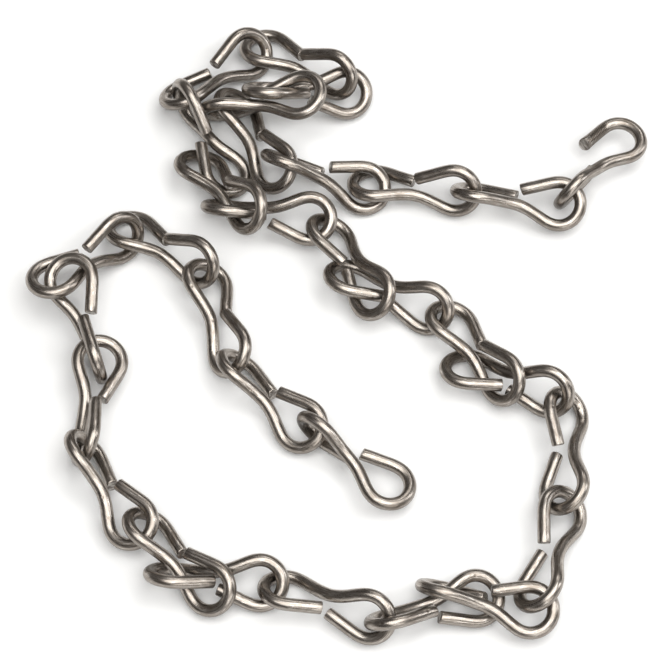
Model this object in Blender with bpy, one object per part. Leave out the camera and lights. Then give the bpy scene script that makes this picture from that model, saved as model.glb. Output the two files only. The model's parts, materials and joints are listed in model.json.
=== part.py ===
"""A loose length of single jack chain: 31 links of bent steel wire, the first one opened as a hook.

Every closed link is the same bent wire. Its free end lies at the middle of the link, the wire runs
round one loop, passes the middle on the other side as the stem, runs round the second loop, which is
turned against the first, and ends at the middle again. The links lie on the floor as they lie in the
photograph: the pixel points below were read off the picture by eye, and seat_chain() turns them into
poses that keep every wire clear of the others, hooked in its neighbours and above the floor.
"""

import collections
import math

import bpy
import numpy as np
from mathutils import Matrix, Vector

# Driving dimensions, in metres. The wire is size 10 single jack chain wire.
WIRE_DIAMETER = 0.0034
LOOP_RADIUS = 0.0060  # wire centre, round end of a loop
LOOP_CENTRE = 0.01125  # from the middle of a link to the centre of a round end
WAIST_OFFSET = 0.00225  # wire centre off the link's own axis at the middle
END_SETBACK = 0.0006  # from the middle of a link to each cut end
LOOP_TWIST = math.radians(76.0)  # second loop against the first, right-handed
CLEARANCE = 0.00044  # between the wires of two links that touch

# The opened link at the start of the chain.
HOOK_OPENING = math.radians(27.0)  # how far the free strand is bent away from its closed place
HOOK_LIFT = math.radians(4.0)  # how steeply it rises out of the plane of its loop
HOOK_FREE_LENGTH = 0.0086  # straight wire beyond the round end
HOOK_SHORTENING = 0.91  # the opened link is this much shorter, pulled out of shape

# Facets: sides of the wire, steps round one loop, steps in the turned part of the stem.
WIRE_SIDES = 8
LOOP_STEPS = 10
STEM_STEPS = 6
FINE_STEPS = 4  # measuring points between two rings of facets

# The camera, worked out from how long the links look in each direction and each row of the picture.
PICTURE_CENTRE = np.array([336.0, 336.0])
CAMERA_ELEVATION = math.radians(63.5)
CAMERA_DISTANCE = 0.764
PIXELS_PER_METRE = 3708.0  # on the floor at the picture's centre

STEEL = (0.30, 0.27, 0.24, 1.0)
MM = 1000.0  # the seating below works in millimetres

Seen = collections.namedtuple("Seen", "head stem tail roll")
Crossing = collections.namedtuple("Crossing", "over under at")
Wire = collections.namedtuple("Wire", "rings points bow_1 bow_2")

# Pixel points along the middle of each wire, in chain order from the hook: head is the loop towards
# the previous link, from its cut end to its bow, stem runs from bow to bow, and tail runs from the
# bow towards the next link to the other cut end. roll is the side, in degrees from the left of the
# link towards up, on which the head's cut end lies.
SEEN = {
    "hook_link": Seen(
        head=[(586, 144), (590, 138), (602, 130.5), (610, 125.5), (617.5, 122), (630, 126),
            (638, 132), (641.7, 144)],
        stem=[(641.7, 144), (638, 150), (632.6, 155), (618.8, 160.5), (605, 164.5), (591, 171.5),
            (583, 177), (574, 186), (563, 199)],
        tail=[(563, 199), (574, 189), (583, 182), (592, 174)],
        roll=180,
    ),
    "link_02": Seen(
        head=[(522, 189.5), (545, 185.5), (560, 183), (580.5, 204)],
        stem=[(580.5, 204), (576.5, 216), (569, 223.5), (560, 224.5), (550, 222.5), (535, 214),
            (520, 207), (490, 199), (470, 195), (456.5, 192.5)],
        tail=[(518, 196)],
        roll=178,
    ),
    "link_03": Seen(
        head=[(417, 178), (430, 174), (450, 170.5), (461, 173), (473, 184), (477, 192)],
        stem=[(477, 192), (470, 203), (460, 208), (450, 208.5), (425, 200.5), (410, 197),
            (380, 196.5), (357.5, 192.5), (353.5, 182)],
        tail=[(353.5, 182), (366, 172), (385, 172), (400, 178.5), (411, 185)],
        roll=157,
    ),
    "link_04": Seen(
        head=[(332, 168.5), (360, 168.5), (375, 170), (384, 178), (385, 188)],
        stem=[(385, 188), (381, 200), (373, 208.5), (362, 208.5), (352, 204.5), (336, 188),
            (313, 173), (290, 163), (269, 158)],
        tail=[(269, 155), (300, 160), (327, 173)],
        roll=178,
    ),
    "link_05": Seen(
        head=[(262, 135), (276, 144), (286, 150), (294, 161), (278, 189)],
        stem=[(273, 189), (257, 173), (249, 149), (233, 124), (226, 114), (229, 92)],
        tail=[(229, 92), (248, 99), (255, 114), (257, 126), (257, 142)],
        roll=150,
    ),
    "link_06": Seen(
        head=[(259, 108), (241, 114), (223, 116), (211, 115), (197, 107)],
        stem=[(197, 107), (209, 104), (226, 102), (251, 104), (276, 110), (301, 114), (321, 96)],
        tail=[(321, 96), (309, 78), (298, 75), (284, 80), (273, 85), (263, 96)],
        roll=-106,
    ),
    "link_07": Seen(
        head=[(309, 92), (281, 93), (251, 93), (244, 91)],
        stem=[(244, 91), (251, 89), (276, 86), (301, 85), (319, 83), (331, 78), (346, 73),
            (359, 76), (367, 96)],
        tail=[(367, 96), (361, 109), (348, 114), (334, 110), (323, 104), (310, 100)],
        roll=105,
    ),
    "link_08": Seen(
        head=[(302, 54), (321, 54), (336, 55), (346, 63), (352, 76), (351, 86)],
        stem=[(351, 86), (341, 93), (329, 93), (319, 85), (306, 74), (281, 65), (251, 57), (245, 49)],
        tail=[(245, 49), (251, 41), (263, 35), (273, 35), (286, 42), (299, 59)],
        roll=150,
    ),
    "link_09": Seen(
        head=[(216, 65), (226, 48), (236, 38), (248, 33), (259, 38), (267, 53)],
        stem=[(267, 53), (263, 67), (256, 71), (241, 76), (226, 80), (213, 86), (204, 93),
            (199, 97), (181, 106), (166, 100)],
        tail=[(166, 100), (171, 89), (186, 83), (201, 78), (213, 74)],
        roll=165,
    ),
    "link_10": Seen(
        head=[(208, 134), (204, 124), (198, 111), (191, 96), (185, 85)],
        stem=[(185, 87), (186, 111), (194, 126), (202, 137), (216, 144), (231, 154), (244, 168),
            (247, 178), (233, 194)],
        tail=[(229, 194), (213, 188), (205, 171), (204, 156), (203, 140)],
        roll=74,
    ),
    "link_11": Seen(
        head=[(229, 178), (222, 164), (211, 156), (196, 153), (181, 164)],
        stem=[(181, 164), (188, 175), (206, 185), (218, 195), (223, 205), (233, 218), (251, 227)],
        tail=[(255, 227), (263, 206), (258, 191), (251, 185), (241, 182), (226, 183)],
        roll=-50,
    ),
    "link_12": Seen(
        head=[(250, 214), (229, 210), (207, 207)],
        stem=[(207, 207), (216, 204), (254, 205), (269, 206), (286, 201), (306, 197), (321, 201),
            (330, 214)],
        tail=[(331, 219), (326, 233), (311, 242), (301, 239), (286, 231), (272, 221)],
        roll=105,
    ),
    "link_13": Seen(
        head=[(346, 262), (331, 251), (317, 240), (308, 228)],
        stem=[(308, 228), (343, 229), (352, 240), (357, 252), (364, 261), (374, 268), (384, 276),
            (389.5, 287), (389, 298), (384, 307), (377, 314)],
        tail=[(377, 314), (369, 315.5), (360, 310), (353.5, 303), (351, 296), (350, 286), (349, 268)],
        roll=125,
    ),
    "link_14": Seen(
        head=[(378, 298), (360, 295), (344, 291), (335, 284), (330, 274)],
        stem=[(330, 274), (333, 265), (350, 263.5), (365, 271), (380, 282), (396, 287), (410, 285),
            (424, 285), (436, 290), (445, 298), (450, 308), (449, 318)],
        tail=[(449, 318), (444, 326), (430, 329), (418, 326), (406, 319), (394, 310), (390, 305)],
        roll=130,
    ),
    "link_15": Seen(
        head=[(481, 342), (476, 330), (470, 319), (463, 311), (455, 307), (432, 314)],
        stem=[(432, 314), (430, 322), (444, 334), (460, 348), (470, 362), (478, 372), (485, 380),
            (487, 392), (493, 399), (502, 403), (510, 399)],
        tail=[(518, 390), (519.6, 380), (518, 368), (512, 358), (500, 350), (484, 345)],
        roll=-50,
    ),
    "link_16": Seen(
        head=[(504, 386), (490, 384), (470, 385), (458, 383), (448, 378), (443, 368)],
        stem=[(443, 368), (448, 360), (458, 355), (480, 356), (492, 361), (504, 367), (530, 369.5),
            (546, 370), (558, 376), (566, 384), (570, 394), (568, 404)],
        tail=[(562, 410), (554, 413), (542, 412), (530, 404), (519, 396)],
        roll=130,
    ),
    "link_17": Seen(
        head=[(558.4, 443.3), (553.3, 425.4), (550, 411), (551.5, 399), (558, 393.5)],
        stem=[(558, 393.5), (575, 402), (581.5, 412.5), (582.5, 425.5), (577.5, 439), (574.5, 449),
            (577, 461), (582.5, 473), (583.5, 486), (578.5, 498), (566.5, 507)],
        tail=[(553.5, 508), (544, 497), (545.5, 482.5), (550, 467.5), (557.6, 454.5)],
        roll=133,
    ),
    "link_18": Seen(
        head=[(545, 543.3), (543.7, 510.4), (547.5, 496), (557.5, 491)],
        stem=[(568, 495), (578, 506), (581, 518), (575, 533), (564, 546), (559, 556), (560, 569),
            (558, 581), (552, 593), (543, 601), (531, 607)],
        tail=[(519.6, 601), (527, 573.4), (536.5, 560.5), (543.2, 552)],
        roll=150,
    ),
    "link_19": Seen(
        head=[(494, 592), (520, 589), (541, 587), (551, 597.5), (553.5, 615)],
        stem=[(553.5, 615), (551, 626.7), (533.4, 633.3), (517.5, 629.5), (500, 617.5), (485, 607),
            (465, 598), (450, 593), (425, 586.4)],
        tail=[(425, 586.4), (462, 589.5), (475, 594.5), (488, 598.5)],
        roll=180,
    ),
    "link_20": Seen(
        head=[(438, 618), (461, 619), (486, 620), (499, 601)],
        stem=[(499, 601), (488, 581), (473, 576), (459, 581), (443, 597), (421, 605), (396, 613),
            (370, 625)],
        tail=[(370, 625), (396, 620), (433, 610)],
        roll=-25,
    ),
    "link_21": Seen(
        head=[(328, 614), (341, 623), (356, 633), (371, 639), (386, 631), (391, 618)],
        stem=[(391, 618), (386, 606), (373, 598), (351, 596), (331, 595), (316, 588), (301, 581),
            (289, 578), (263, 591)],
        tail=[(263, 591), (276, 601), (301, 606), (323, 606)],
        roll=-30,
    ),
    "link_22": Seen(
        head=[(215, 592), (236, 599), (246, 603), (263, 607), (273, 602), (283, 591)],
        stem=[(283, 591), (282, 576), (273, 564), (259, 559), (246, 560), (226, 564), (216, 569),
            (191, 573), (166, 568), (151, 573)],
        tail=[(151, 573), (156, 578), (176, 582), (214, 582)],
        roll=-25,
    ),
    "link_23": Seen(
        head=[(185, 553), (201, 560), (216, 565), (227, 574), (231, 589), (226, 603)],
        stem=[(226, 603), (211, 610), (196, 604), (186, 593), (179, 576), (161, 559), (141, 539),
            (134, 531), (128, 519)],
        tail=[(128, 519), (146, 513), (161, 521), (171, 531), (176, 543), (178, 557)],
        roll=145,
    ),
    "link_24": Seen(
        head=[(116, 485), (126, 489), (139, 499), (149, 511), (152, 523), (148, 537), (144, 541)],
        stem=[(136, 542), (126, 542), (113, 533), (108, 516), (104, 499), (99, 488), (91, 476),
            (81, 461), (74, 451), (71, 441)],
        tail=[(76, 434), (91, 448), (98, 451), (105, 463), (108, 476), (109, 485)],
        roll=155,
    ),
    "link_25": Seen(
        head=[(96.5, 393), (97.5, 410.5), (95.5, 428.5), (91, 443), (86, 451)],
        stem=[(86, 451), (80, 441), (78.6, 430), (81.3, 410.5), (84, 395.5), (80.8, 378),
            (78.8, 360), (86, 345.5), (96, 340.5), (104, 341.5)],
        tail=[(104, 341.5), (112, 345), (120.8, 360), (117.5, 372.5), (110, 384), (104.8, 392.3)],
        roll=110,
    ),
    "link_26": Seen(
        head=[(82, 312), (86.5, 322), (92.5, 331), (97.5, 338), (106.5, 354), (105.5, 362)],
        stem=[(105.5, 362), (96.5, 363.5), (88, 356.5), (82.5, 346), (78.5, 330), (76, 318),
            (68, 304), (58.3, 280), (60, 268.5), (68, 262.5)],
        tail=[(78, 260), (86, 267), (89.8, 276), (90.2, 288), (89, 303), (88, 309)],
        roll=115,
    ),
    "link_27": Seen(
        head=[(86, 254), (75.5, 253.5), (60.5, 256.5), (45, 263), (33, 274), (30.5, 283)],
        stem=[(30.5, 283), (35, 290.5), (45.5, 294.5), (62, 293.3), (76, 283.5), (88, 268.5),
            (100.4, 262.2), (125, 253.8), (137, 246.5), (139.3, 232.5)],
        tail=[(139.3, 232.5), (136.5, 222.5), (128, 216), (115.3, 218.3), (104.8, 226.8),
            (95, 238.5), (86.5, 250)],
        roll=-40,
    ),
    "link_28": Seen(
        head=[(163.2, 240.5), (152.7, 227.2), (141, 215), (114, 224.5), (110.3, 230.5)],
        stem=[(110.3, 230.5), (117.5, 240.5), (131, 243.8), (145.4, 248.5), (159.5, 253.5),
            (175.2, 268.5), (186, 278), (200, 283.5), (212, 275.5)],
        tail=[(212.7, 262.5), (208, 248.5), (195.5, 239.5), (180.5, 238), (164.8, 238.5)],
        roll=-52,
    ),
    "link_29": Seen(
        head=[(226.5, 311.5), (228, 300.5), (226.5, 285.5), (218.5, 272.5), (205, 263), (194.6, 268)],
        stem=[(189.8, 276), (193.8, 291), (199.5, 304), (208.4, 320), (212.5, 334.7), (214.4, 350),
            (216.6, 364), (227, 371)],
        tail=[(242.6, 360.7), (245.5, 347.7), (242.6, 333), (232.3, 322.2), (219, 313.5)],
        roll=-50,
    ),
    "link_30": Seen(
        head=[(272, 393), (269, 389), (259, 376), (249, 363), (226, 354)],
        stem=[(223, 363), (233, 373), (246, 386), (259, 398), (269, 413), (278, 431), (289, 443),
            (303, 447), (316, 441), (319, 440)],
        tail=[(324, 426), (321, 412), (306, 403), (291, 397), (276, 394)],
        roll=-69,
    ),
    "end_link": Seen(
        head=[(305, 416)],
        stem=[(305, 416), (341, 448), (354, 464), (362, 481), (371, 494), (381, 502), (391, 505.5),
            (402, 501), (409, 491)],
        tail=[(409, 481), (403, 471), (397, 466), (381, 461), (362, 457)],
        roll=-85,
    ),
}

# Crossings where the picture shows which wire lies over which, and the pixel readings alone would
# leave it open.
CROSSINGS = [
    Crossing(over=("link_14", "head"), under=("link_13", "tail"), at=(351, 291)),
    Crossing(over=("link_13", "tail"), under=("link_14", "stem"), at=(350, 271)),
    Crossing(over=("link_13", "stem"), under=("link_14", "stem"), at=(387, 288)),
    Crossing(over=("link_10", "head"), under=("link_09", "stem"), at=(191, 97)),
    Crossing(over=("link_09", "stem"), under=("link_10", "stem"), at=(186, 103)),
    Crossing(over=("link_27", "stem"), under=("link_26", "stem"), at=(60, 291)),
    Crossing(over=("link_26", "tail"), under=("link_27", "stem"), at=(88, 266)),
    Crossing(over=("link_26", "stem"), under=("link_27", "head"), at=(66, 258)),
    Crossing(over=("hook_link", "stem"), under=("link_02", "head"), at=(572, 184)),
    Crossing(over=("link_02", "head"), under=("hook_link", "tail"), at=(579, 193)),
    Crossing(over=("link_26", "stem"), under=("link_25", "stem"), at=(83, 352)),
    Crossing(over=("link_25", "tail"), under=("link_26", "head"), at=(100, 341)),
    Crossing(over=("link_19", "head"), under=("link_18", "tail"), at=(522, 589)),
    Crossing(over=("link_18", "stem"), under=("link_19", "head"), at=(549, 592)),
    Crossing(over=("link_04", "head"), under=("link_03", "tail"), at=(374, 171)),
    Crossing(over=("link_03", "stem"), under=("link_04", "stem"), at=(384, 197)),
]

# How hard each rule pulls while the chain is seated: the readings, the floor, coming down to the
# floor, the clearance, hooked neighbours, and the crossings.
Pull = collections.namedtuple("Pull", "seen floor rest clear hooked crossing")
HELD_BACK = 0.5  # keeps each step small
ALONE_STEPS = 40
LAY_OUT_STEPS = 60
SEAT_STEPS = 150


def loop_angle(radius, centre, offset):
    """Angle on the round end where the straight strand from the link's waist meets it."""
    return math.atan2(offset, centre) + math.acos(radius / math.hypot(centre, offset))


def round_end(first_angle, last_angle, steps):
    """Points of the first loop's round end, in the plane of the loop, in millimetres."""
    angles = np.linspace(first_angle, last_angle, steps + 1)
    centre = LOOP_CENTRE * MM
    radius = LOOP_RADIUS * MM
    return np.stack([-centre + radius * np.cos(angles), radius * np.sin(angles)], axis=1)


def stem_middle():
    """Points of the stem between the two round ends, turning from one loop's plane to the other's."""
    meet = loop_angle(LOOP_RADIUS, LOOP_CENTRE, WAIST_OFFSET)
    far, wide = np.abs(round_end(meet, meet, 1)[0])
    waist = WAIST_OFFSET * MM
    points = []
    for share in np.linspace(-1.0, 1.0, STEM_STEPS + 1)[1:-1]:
        offset = waist + (wide - waist) * (1.5 - 0.5 * share * share) * share * share
        eased = (share + 1.0) / 2.0
        angle = LOOP_TWIST * eased * eased * (3.0 - 2.0 * eased)
        points.append([far * share, -offset * math.cos(angle), -offset * math.sin(angle)])
    return np.array(points)


def turned(plane_points):
    """The first loop's points as the second loop's: run backwards, mirrored and turned."""
    x = -plane_points[::-1, 0]
    v = plane_points[::-1, 1]
    return np.stack([x, v * math.cos(LOOP_TWIST), v * math.sin(LOOP_TWIST)], axis=1)


def closed_rings():
    """Wire centre of a closed link, one point for each ring of facets."""
    meet = loop_angle(LOOP_RADIUS, LOOP_CENTRE, WAIST_OFFSET)
    bow = round_end(meet, 2.0 * math.pi - meet, LOOP_STEPS)
    share = END_SETBACK * MM / abs(bow[0][0])
    waist = np.array([0.0, WAIST_OFFSET * MM])
    cut_end = waist + (bow[0] - waist) * share
    head = np.vstack([cut_end, bow])
    flat = np.hstack([head, np.zeros((len(head), 1))])
    return np.vstack([flat, stem_middle(), turned(head)])


def hook_rings():
    """Wire centre of the opened link: its first strand is bent open and lifted."""
    meet = loop_angle(LOOP_RADIUS, LOOP_CENTRE, WAIST_OFFSET)
    opened = meet + HOOK_OPENING
    bow = round_end(opened, 2.0 * math.pi - meet, LOOP_STEPS)
    lifted = LOOP_STEPS // 2
    point = np.append(bow[lifted], 0.0)
    path = [point]
    for i in range(lifted, 0, -1):
        step = bow[i - 1] - bow[i]
        rise = HOOK_LIFT * (lifted - i + 1) / lifted
        point = point + [*(step * math.cos(rise)), np.linalg.norm(step) * math.sin(rise)]
        path.append(point)
    along = np.array([math.sin(opened), -math.cos(opened)]) * math.cos(HOOK_LIFT)
    path.append(point + HOOK_FREE_LENGTH * MM * np.array([*along, math.sin(HOOK_LIFT)]))
    rest = np.hstack([bow[lifted + 1:], np.zeros((LOOP_STEPS - lifted, 1))])
    rings = np.vstack([path[::-1], rest, closed_rings()[LOOP_STEPS + 2:]])
    rings[:, 0] *= HOOK_SHORTENING
    return rings


def wire_of(rings):
    """The rings with measuring points between them, and the two points at the far bows."""
    points = []
    for start, stop in zip(rings[:-1], rings[1:]):
        for share in np.arange(FINE_STEPS) / FINE_STEPS:
            points.append(start + (stop - start) * share)
    points.append(rings[-1])
    points = np.array(points)
    return Wire(rings, points, int(points[:, 0].argmin()), int(points[:, 0].argmax()))


def camera_axes():
    """The camera's right, up and backward directions."""
    right = np.array([1.0, 0.0, 0.0])
    up = np.array([0.0, math.sin(CAMERA_ELEVATION), math.cos(CAMERA_ELEVATION)])
    back = np.array([0.0, -math.cos(CAMERA_ELEVATION), math.sin(CAMERA_ELEVATION)])
    return right, up, back


RIGHT, UP, BACK = camera_axes()
FOCAL = PIXELS_PER_METRE * CAMERA_DISTANCE
DISTANCE = CAMERA_DISTANCE * MM


def to_pixels(points):
    """Where points in millimetres are seen in the picture."""
    depth = DISTANCE - points @ BACK
    return PICTURE_CENTRE + FOCAL * np.stack([points @ RIGHT, -(points @ UP)], axis=-1) / depth[..., None]


def from_pixel(pixel, height):
    """The point at this height that is seen at the pixel."""
    x, y = (np.array(pixel) - PICTURE_CENTRE) / FOCAL
    ray = x * RIGHT - y * UP - BACK
    eye = DISTANCE * BACK
    return eye + ray * (height - eye[2]) / ray[2]


def pixel_slopes(points):
    """How far each point's pixel moves for a move of one millimetre along each axis."""
    depth = (DISTANCE - points @ BACK)[:, None]
    across = FOCAL * (RIGHT / depth + (points @ RIGHT)[:, None] * BACK / depth**2)
    down = -FOCAL * (UP / depth + (points @ UP)[:, None] * BACK / depth**2)
    return np.stack([across, down], axis=1)


def turn_about(vector):
    """The rotation matrix of a rotation vector."""
    angle = np.linalg.norm(vector)
    if angle < 1e-12:
        return np.eye(3)
    x, y, z = vector / angle
    cross = np.array([[0, -z, y], [z, 0, -x], [-y, x, 0]])
    return np.eye(3) + math.sin(angle) * cross + (1 - math.cos(angle)) * cross @ cross


class Link:
    """One link: its bent wire, what the picture shows of it, and its pose."""

    def __init__(self, name, wire, seen):
        self.name = name
        self.wire = wire
        self.strands = {
            "head": (0, wire.bow_1),
            "stem": (wire.bow_1, wire.bow_2),
            "tail": (wire.bow_2, len(wire.points) - 1),
        }
        self.seen = seen
        self.first_pose(seen)
        self.place()

    def first_pose(self, seen):
        """Lies the link between its two bows at its resting height, rolled as it was read."""
        rest_height = LOOP_RADIUS * MM
        start = from_pixel(seen.stem[0], rest_height)
        stop = from_pixel(seen.stem[-1], rest_height)
        axis = (stop - start) / np.linalg.norm(stop - start)
        left = np.cross([0.0, 0.0, 1.0], axis)
        roll = math.radians(seen.roll)
        side = math.cos(roll) * left + math.sin(roll) * np.cross(axis, left)
        self.turn = np.stack([axis, side, np.cross(axis, side)], axis=1)
        self.centre = (start + stop) / 2.0

    def place(self):
        """Works out where the wire is, in space and in the picture."""
        self.points = self.wire.points @ self.turn.T + self.centre
        self.pixels = to_pixels(self.points)

    def rings(self):
        return self.wire.rings @ self.turn.T + self.centre

    def lever(self, index, direction):
        """How the point moves along the direction for each of the six moves of the link."""
        arm = self.points[index] - self.centre
        return np.concatenate([np.cross(arm, direction), direction])

    def move(self, moves):
        """Turns and shifts the link by a small amount, and no more than a limit."""
        largest = max(np.linalg.norm(moves[:3]) / 0.06, np.linalg.norm(moves[3:]) / 0.8, 1.0)
        moves = moves / largest
        left, _, right = np.linalg.svd(turn_about(moves[:3]) @ self.turn)
        self.turn = np.round(left @ right, 9)
        self.centre = np.round(self.centre + moves[3:], 8)
        self.place()


class Balance:
    """The linear equations of one seating step, six unknown moves for each link."""

    def __init__(self, links, damping):
        self.at = {link.name: 6 * i for i, link in enumerate(links)}
        held = np.tile([300.0 * damping] * 3 + [damping] * 3, len(links))
        self.matrix = np.diag(held)
        self.right = np.zeros(6 * len(links))

    def ask(self, parts, wanted, pull):
        """Asks that the moves of the given links, by their levers, add up to the wanted distance."""
        rows = np.concatenate([np.arange(6) + self.at[link.name] for link, _ in parts])
        lever = np.concatenate([lever for _, lever in parts])
        self.matrix[np.ix_(rows, rows)] += pull * np.outer(lever, lever)
        self.right[rows] += pull * wanted * lever

    def solve(self, links):
        moves = np.linalg.solve(self.matrix, self.right)
        for link in links:
            link.move(moves[self.at[link.name]:self.at[link.name] + 6])


def ask_for_readings(balance, link, pull):
    """Draws each strand towards the pixels at which it was read."""
    slopes = pixel_slopes(link.points)
    last = len(link.points) - 1
    for strand, (low, high) in link.strands.items():
        readings = getattr(link.seen, strand)
        for number, reading in enumerate(readings):
            pixel = np.array(reading)
            is_cut_end = (strand == "head" and number == 0) or (strand == "tail" and number == len(readings) - 1)
            if is_cut_end:
                index = 0 if strand == "head" else last
            else:
                index = low + int(np.hypot(*(link.pixels[low:high + 1] - pixel).T).argmin())
            along = link.pixels[min(index + 1, last)] - link.pixels[max(index - 1, 0)]
            along = along / np.linalg.norm(along)
            off = pixel - link.pixels[index]
            share = pull / (1.0 + off @ off / 25.0)
            for side, weight in ((np.array([-along[1], along[0]]), 1.0), (along, 0.25 if is_cut_end else 0.02)):
                lever = link.lever(index, side @ slopes[index])
                balance.ask([(link, lever)], side @ off, weight * share)


def ask_for_floor(balance, link, pull):
    """Keeps the wire above the floor and brings its lowest point down to it."""
    upward = np.array([0.0, 0.0, 1.0])
    radius = WIRE_DIAMETER * MM / 2.0
    for index in np.flatnonzero(link.points[:, 2] < radius):
        balance.ask([(link, link.lever(index, upward))], radius - link.points[index, 2], pull.floor)
    lowest = int(link.points[:, 2].argmin())
    if link.points[lowest, 2] > radius:
        lever = link.lever(lowest, upward)
        balance.ask([(link, lever)], radius - link.points[lowest, 2], pull.rest)


def ask_for_distance(balance, first, i, second, j, direction, wanted, pull):
    """Asks that point j of the second link moves away from point i of the first."""
    parts = [(first, first.lever(i, -direction)), (second, second.lever(j, direction))]
    balance.ask(parts, wanted, pull)


def ask_for_clearance(balance, first, second, are_neighbours, pull):
    """Parts wires that come too close, and draws neighbours together until they touch."""
    wanted = (WIRE_DIAMETER + CLEARANCE) * MM
    apart = second.points[None] - first.points[:, None]
    distance = np.sqrt((apart**2).sum(axis=2))
    if distance.min() > wanted and not are_neighbours:
        return
    close = {(i, int(distance[i].argmin())) for i in np.flatnonzero(distance.min(axis=1) < wanted).tolist()}
    close |= {(int(distance[:, j].argmin()), j) for j in np.flatnonzero(distance.min(axis=0) < wanted).tolist()}
    strength = pull.clear
    if not close:
        close = {tuple(int(n) for n in np.unravel_index(distance.argmin(), distance.shape))}
        strength = pull.hooked
    for i, j in sorted(close):
        gap = distance[i, j]
        ask_for_distance(balance, first, i, second, j, apart[i, j] / gap, wanted - gap, strength)


def ask_for_crossing(balance, links, crossing, pull):
    """Lifts the upper wire of a crossing over the lower one, as seen by the camera."""
    upper = links[crossing.over[0]]
    lower = links[crossing.under[0]]
    low_1, high_1 = upper.strands[crossing.over[1]]
    low_2, high_2 = lower.strands[crossing.under[1]]
    pixel = np.array(crossing.at)
    one = upper.pixels[low_1:high_1 + 1]
    two = lower.pixels[low_2:high_2 + 1]
    misses = np.hypot(*(one[:, None] - two[None]).transpose(2, 0, 1))
    misses = misses + 0.3 * np.hypot(*(one - pixel).T)[:, None] + 0.3 * np.hypot(*(two - pixel).T)[None]
    i, j = np.unravel_index(misses.argmin(), misses.shape)
    i = int(i) + low_1
    j = int(j) + low_2
    missing = (WIRE_DIAMETER + CLEARANCE) * MM - (upper.points[i] - lower.points[j]) @ BACK
    if missing > 0.0:
        ask_for_distance(balance, lower, j, upper, i, BACK, missing, pull)


def seating_step(links, pull, left_out):
    """Moves every link once towards what the rules ask of it together."""
    balance = Balance(links, HELD_BACK)
    by_name = {link.name: link for link in links}
    if pull.crossing > 0.0:
        for crossing in CROSSINGS:
            ask_for_crossing(balance, by_name, crossing, pull.crossing)
    reach = 2.0 * (LOOP_CENTRE + LOOP_RADIUS + WIRE_DIAMETER) * MM
    for number, link in enumerate(links):
        ask_for_readings(balance, link, pull.seen)
        ask_for_floor(balance, link, pull)
        for other_number in range(number + 1, len(links)):
            other = links[other_number]
            if frozenset((link.name, other.name)) in left_out:
                continue
            if np.linalg.norm(link.centre - other.centre) < reach:
                ask_for_clearance(balance, link, other, other_number == number + 1, pull)
    balance.solve(links)


def seat_chain(links):
    """Poses each link by its readings, lays out the crossings, then seats the links clear of each other."""
    everything = {frozenset((one.name, two.name)) for one in links for two in links}
    for _ in range(ALONE_STEPS):
        seating_step(links, Pull(1.0, 10.0, 1.0, 0.0, 0.0, 0.0), everything)
    crossed = {frozenset((crossing.over[0], crossing.under[0])) for crossing in CROSSINGS}
    for _ in range(LAY_OUT_STEPS):
        seating_step(links, Pull(1.0, 10.0, 1.0, 4.0, 0.3, 3.0), crossed)
    for number in range(SEAT_STEPS):
        ramp = min(1.0, number / 80.0)
        crossing = 1.0 if number <= 40 else 0.0
        pull = Pull(1.0, 4.0 + 60.0 * ramp, 1.0 + 4.0 * ramp, 1.0 + 150.0 * ramp, 0.5 + 8.0 * ramp, crossing)
        seating_step(links, pull, set())


def ring_frames(rings):
    """Two directions across the wire at each ring, carried along without turning about the wire."""
    steps = np.diff(rings, axis=0)
    steps = steps / np.linalg.norm(steps, axis=1)[:, None]
    along = np.vstack([steps[0], steps[:-1] + steps[1:], steps[-1]])
    along = along / np.linalg.norm(along, axis=1)[:, None]
    side = np.cross(along[0], [0.0, 0.0, 1.0])
    frames = []
    for direction in along:
        side = side - direction * (side @ direction)
        side = side / np.linalg.norm(side)
        frames.append((side, np.cross(direction, side)))
    return frames


def wire_mesh(name, rings):
    """A closed mesh of the wire: rings of facets along it and a flat face on each cut end."""
    radius = WIRE_DIAMETER * MM / 2.0
    vertices = []
    for centre, (side, other) in zip(rings, ring_frames(rings)):
        for number in range(WIRE_SIDES):
            angle = 2.0 * math.pi * (number + 0.5) / WIRE_SIDES
            vertices.append((centre + radius * (math.cos(angle) * side + math.sin(angle) * other)) / MM)
    faces = [tuple(reversed(range(WIRE_SIDES)))]
    for ring in range(len(rings) - 1):
        for number in range(WIRE_SIDES):
            here = ring * WIRE_SIDES + number
            beside = ring * WIRE_SIDES + (number + 1) % WIRE_SIDES
            faces.append((here, beside, beside + WIRE_SIDES, here + WIRE_SIDES))
    last = (len(rings) - 1) * WIRE_SIDES
    faces.append(tuple(range(last, last + WIRE_SIDES)))
    mesh = bpy.data.meshes.new(name)
    mesh.from_pydata([tuple(map(float, vertex)) for vertex in vertices], [], faces)
    mesh.validate()
    return mesh


def steel_material(name):
    """Bare drawn steel wire."""
    material = bpy.data.materials.new(name)
    material.use_nodes = True
    shader = material.node_tree.nodes["Principled BSDF"]
    shader.inputs["Base Color"].default_value = STEEL
    shader.inputs["Metallic"].default_value = 1.0
    shader.inputs["Roughness"].default_value = 0.32
    material.diffuse_color = STEEL
    return material


def add_link(link):
    """Puts the link into the scene as an object of its own."""
    mesh = wire_mesh(link.name, link.rings())
    mesh.materials.append(steel_material(link.name + "_steel"))
    obj = bpy.data.objects.new(link.name, mesh)
    bpy.context.scene.collection.objects.link(obj)
    return obj


def settle_origin(objects):
    """Shifts the meshes so that the origin is under the chain's middle and its lowest wire at zero."""
    corners = np.array([vertex.co for obj in objects for vertex in obj.data.vertices])
    low = corners.min(axis=0)
    high = corners.max(axis=0)
    shift = Vector((-(low[0] + high[0]) / 2.0, -(low[1] + high[1]) / 2.0, -low[2]))
    for obj in objects:
        obj.data.transform(Matrix.Translation(shift))


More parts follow.
